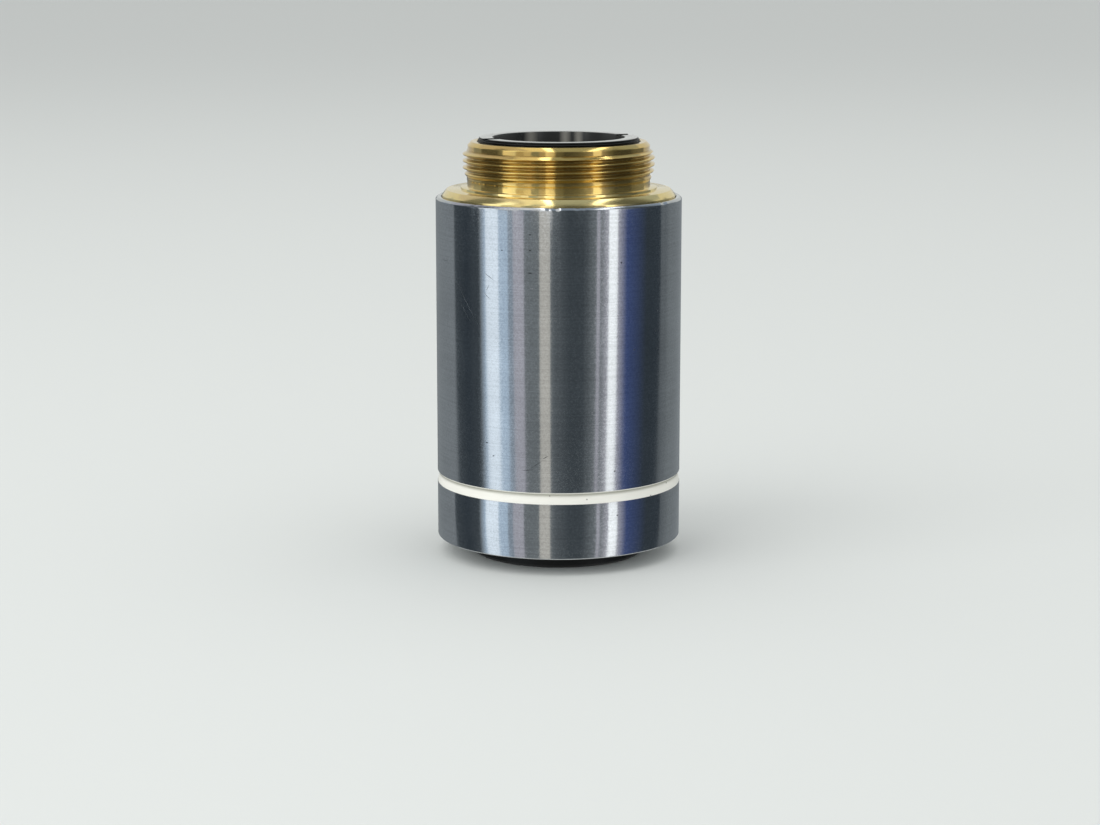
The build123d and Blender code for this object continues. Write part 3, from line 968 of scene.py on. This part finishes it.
# Upper row of cards, which the brass mirrors, in the same way
BRASS_CARDS = [
    (-101, "mist", "mist"),
    (-57.5, "steel", "steel"),
    (-41.5, "iron", "iron"),
    (-37.5, "slate", "steel"),
    (-28, "white", "mist"),
    (-22.5, "warm", "warm"),
    (-17.5, "pearl", "pearl"),
    (-12.5, "steel", "steel"),
    (-8.5, "lilac", "warm"),
    (-2.5, "white", "pearl"),
    (3, "slate", "iron"),
    (12, "charcoal", "iron"),
    (17, "iron", "pewter"),
    (22, "pewter", "lilac"),
    (27.8, "white", "white"),
    (33, "lilac", "slate"),
    (38, "slate", "charcoal"),
    (52, "charcoal", "charcoal"),
    (62, "iron", "slate"),
    (90, "slate", "pewter"),
    (97, "white", "mist"),
    (105, "coal", "coal"),
]
CARD_RING = 26 * MM
CARD_COLUMNS = 720
CARDS_LOW = -15 * MM
CARDS_MIDDLE = 39 * MM  # where the two rows meet
CARDS_TOP = 70 * MM
SIDES_TOP = 46 * MM  # lower at the sides, so that the chamfers mirror the backdrop over them
SIDES_START = 95  # degrees from the front
BACK_START = 115  # degrees from the front, past which there is no upper row
CARD_GLOW = 1.6
# Boards overhead: left, right and back edge in millimetres, the board and how far it outshines a card
BOARDS = [
    (-130, -36, 110, "lilac", 1),
    (-36, -14, 28, "pearl", 1),
    (-14, -6.5, 28, "white", 2),
    (-6.5, 36, 10, "steel", 1),
    (36, 46, 28, "white", 2),
    (46, 130, 110, "steel", 1),
]
BOARDS_FRONT = -50  # front edge of all boards, in millimetres
BOARDS_HEIGHT = 119  # in millimetres
# Lamps: name, place in metres, turn in degrees, size in metres and power in watts
LAMPS = [
    ("overhead_softbox", (0.02, 0.05, 0.6), (-5, 2, 0), 1.0, 1.3),
    ("left_softbox", (-0.36, -0.3, 0.34), (52, 0, -50), 0.5, 1.2),
]
ROOM_COLOUR = (0.98, 0.99, 1, 1)
ROOM_LIGHT = 0.8
CEILING_START = 0.6  # height on the backdrop, as the sine of the angle above level
CEILING_FULL = 0.9
FLOOR_SIZE = 12  # in metres
CAMERA_PLACE = (-0.92 * MM, -268.1 * MM, 65.56 * MM)
CAMERA_PITCH = 10.71  # degrees below level
CAMERA_LENS = 83.18  # focal length in millimetres
CAMERA_SENSOR = 36  # width in millimetres
CAMERA_NEAR = 5 * MM


class OBJECTIVE_OT_stage(Operator):
    """Set up the floor, the lamps, the reflection cards and the camera"""

    bl_idname = "objective.stage"
    bl_label = "Stage"

    def execute(self, context):
        colours = context.scene.objective_colours
        self.lay_floor(colours)
        self.hang_cards()
        self.hang_boards()
        self.light_world(context, colours)
        self.place_lamps()
        self.place_camera(context)
        context.scene.view_settings.view_transform = "Standard"
        return {"FINISHED"}

    def lay_floor(self, colours):
        """A plain pale floor that reaches past the top of the picture."""
        bpy.ops.object.select_all(action="DESELECT")
        bpy.ops.mesh.primitive_plane_add(size=FLOOR_SIZE)
        floor = bpy.context.object
        floor.name = "floor"
        material, tree, shader = new_finish("floor_paper")
        place = add(tree, "TexCoord", out="Object")
        tooth = add(tree, "TexNoise", {"Vector": place, "Scale": per_mm(0.6), "Detail": 3})
        bump = add(tree, "Bump", {"Height": tooth, "Strength": 0.1, "Distance": 0.05 * MM})
        fill(tree, shader, {"Base Color": rgba(colours.floor), "Roughness": 0.9, "Normal": bump})
        fill(tree, shader, {"Specular IOR Level": 0.1})
        floor.data.materials.append(material)
        # Reflections see the cards and the backdrop, which has the floor's colour
        floor.visible_glossy = False

    def hang_cards(self):
        """A ring of upright cards in two rows that only reflections see, with no upper row at the back."""
        bpy.ops.object.select_all(action="DESELECT")
        bpy.ops.mesh.primitive_cylinder_add(
            vertices=CARD_COLUMNS,
            radius=CARD_RING,
            depth=CARDS_MIDDLE - CARDS_LOW,
            end_fill_type="NOTHING",
            location=(0, 0, (CARDS_MIDDLE + CARDS_LOW) / 2),
        )
        cards = bpy.context.object
        cards.name = "reflection_cards"
        bpy.ops.object.transform_apply(location=True)
        bpy.ops.object.mode_set(mode="EDIT")
        select_vertices(cards, lambda v: v.co.z > CARDS_MIDDLE / 2)
        rise = (0, 0, CARDS_TOP - CARDS_MIDDLE)
        bpy.ops.mesh.extrude_region_move(TRANSFORM_OT_translate={"value": rise})
        self.select_top(cards, BACK_START)
        bpy.ops.mesh.delete(type="VERT")
        self.select_top(cards, SIDES_START)
        bpy.ops.transform.translate(value=(0, 0, SIDES_TOP - CARDS_TOP))
        bpy.ops.object.mode_set(mode="OBJECT")
        tints = cards.data.attributes.new("card_colour", "FLOAT_COLOR", "FACE")
        lower_row = [(self.card_end(seen, sleeve_high.x), *pair) for seen, *pair in SLEEVE_CARDS]
        upper_row = [(self.card_end(seen, thread_crest), *pair) for seen, *pair in BRASS_CARDS]
        for face, tint in zip(cards.data.polygons, tints.data):
            row = upper_row if face.center.z > CARDS_MIDDLE else lower_row
            tint.color = rgba(self.card_colour(from_front(face.center), row))
        self.light_card(cards, CARD_GLOW)

    def select_top(self, cards, start):
        """Selects the cards' upper edge past this many degrees from the front, on both sides."""
        select_vertices(cards, lambda v: v.co.z > CARDS_TOP - MM and abs(from_front(v.co)) > start)

    def hang_boards(self):
        """White and grey boards overhead, which the chamfers and the thread's crests mirror."""
        for left, right, back, board, glow in BOARDS:
            middle = ((left + right) / 2 * MM, (BOARDS_FRONT + back) / 2 * MM, BOARDS_HEIGHT * MM)
            bpy.ops.object.select_all(action="DESELECT")
            bpy.ops.mesh.primitive_plane_add(size=MM, location=middle)
            bpy.ops.transform.resize(value=(right - left, back - BOARDS_FRONT, 1))
            overhead = bpy.context.object
            overhead.name = "overhead_board"
            bpy.ops.object.transform_apply(location=True, scale=True)
            tints = overhead.data.attributes.new("card_colour", "FLOAT_COLOR", "FACE")
            tints.data[0].color = rgba(linear(TONES[board]))
            self.light_card(overhead, glow * CARD_GLOW)

    def light_card(self, card, strength):
        """Lets a card glow in its own colours, for reflections alone."""
        material, tree, shader = new_finish("reflection_card")
        tree.nodes.remove(shader)
        tint = add(tree, "Attribute", out="Color", attribute_name="card_colour")
        light = add(tree, "Emission", {"Color": tint, "Strength": strength})
        fill(tree, tree.nodes["Material Output"], {"Surface": light})
        card.data.materials.append(material)
        for ray in ("camera", "diffuse", "shadow", "transmission", "volume_scatter"):
            setattr(card, "visible_" + ray, False)

    def card_end(self, seen, wall):
        """Angle on the ring of cards that a round wall mirrors to the front at this angle of its own."""
        across = math.sin(math.radians(seen))
        return 2 * seen - math.degrees(math.asin(wall * across / CARD_RING))

    def card_colour(self, degrees, row):
        """Colour of the card that hangs at this angle in a row of cards."""
        start = -180
        for end, first, last in row:
            if degrees <= end:
                share = (degrees - start) / (end - start)
                pair = zip(linear(TONES[first]), linear(TONES[last]))
                return [a + (b - a) * share for a, b in pair]
            start = end
        raise RuntimeError(f"no card hangs at {degrees} degrees")

    def light_world(self, context, colours):
        """Even studio light, with a pale backdrop for the camera and for reflections."""
        world = bpy.data.worlds.new("studio")
        context.scene.world = world
        world.use_nodes = True
        tree = world.node_tree
        light = tree.nodes["Background"]
        fill(tree, light, {"Color": ROOM_COLOUR, "Strength": ROOM_LIGHT})
        ray = add(tree, "LightPath").node.outputs
        mirrored = {0: ray["Is Glossy Ray"], 1: ray["Is Transmission Ray"]}
        passed = add(tree, "Math", mirrored, operation="MAXIMUM")
        shown = add(tree, "Math", {0: ray["Is Camera Ray"], 1: passed}, operation="MAXIMUM")
        # Reflections see the floor's colour on the wall behind and a darker ceiling above it
        up = add(tree, "SeparateXYZ", {0: add(tree, "TexCoord", out="Generated")}, out="Z")
        heights = {"Value": up, "From Min": CEILING_START, "From Max": CEILING_FULL}
        overhead = add(tree, "MapRange", heights)
        pair = {6: rgba(colours.floor), 7: rgba(colours.ceiling)}
        shade = add(tree, "Mix", {0: overhead, **pair}, **COLOUR_MIX)
        backdrop = add(tree, "Background", {"Color": shade, "Strength": 1.0})
        surface = add(tree, "MixShader", {0: shown, 1: light.outputs[0], 2: backdrop})
        fill(tree, tree.nodes["World Output"], {"Surface": surface})

    def place_lamps(self):
        """A wide soft box overhead and a smaller one from the left."""
        for name, place, turned, size, power in LAMPS:
            angles = [math.radians(angle) for angle in turned]
            bpy.ops.object.light_add(type="AREA", location=place, rotation=angles)
            lamp = bpy.context.object
            lamp.name = name
            lamp.data.size = size
            lamp.data.energy = power
            lamp.visible_glossy = False

    def place_camera(self, context):
        """The photo's view: the camera stands a little left of the axis and looks down a little."""
        level = math.radians(90)
        turned = (level - math.radians(CAMERA_PITCH), 0, 0)
        bpy.ops.object.camera_add(location=CAMERA_PLACE, rotation=turned)
        camera = bpy.context.object
        camera.data.sensor_width = CAMERA_SENSOR
        camera.data.lens = CAMERA_LENS
        camera.data.clip_start = CAMERA_NEAR
        context.scene.camera = camera


class OBJECTIVE_PT_panel(Panel):
    """Sizes, colours and pieces of the objective"""

    bl_label = "Microscope objective"
    bl_idname = "OBJECTIVE_PT_panel"
    bl_space_type = "VIEW_3D"
    bl_region_type = "UI"
    bl_category = "Objective"

    def draw(self, context):
        for operator in OPERATORS:
            self.layout.operator(operator.bl_idname)
        for group in (context.scene.objective_sizes, context.scene.objective_colours):
            box = self.layout.box()
            for name in group.__annotations__:
                box.prop(group, name)


OPERATORS = (
    OBJECTIVE_OT_sleeve,
    OBJECTIVE_OT_band,
    OBJECTIVE_OT_mount,
    OBJECTIVE_OT_rear_ring,
    OBJECTIVE_OT_nose,
    OBJECTIVE_OT_inner_finishes,
    OBJECTIVE_OT_stage,
)
CLASSES = (ObjectiveSizes, ObjectiveColours, *OPERATORS, OBJECTIVE_PT_panel)


def register():
    for cls in CLASSES:
        bpy.utils.register_class(cls)
    bpy.types.Scene.objective_sizes = PointerProperty(type=ObjectiveSizes)
    bpy.types.Scene.objective_colours = PointerProperty(type=ObjectiveColours)


def unregister():
    del bpy.types.Scene.objective_colours
    del bpy.types.Scene.objective_sizes
    for cls in reversed(CLASSES):
        bpy.utils.unregister_class(cls)


def main():
    register()
    bpy.ops.objective.sleeve()
    bpy.ops.objective.band()
    bpy.ops.objective.mount()
    bpy.ops.objective.rear_ring()
    bpy.ops.objective.nose()
    bpy.ops.objective.inner_finishes()
    bpy.ops.objective.stage()


if __name__ == "__main__":
    main()
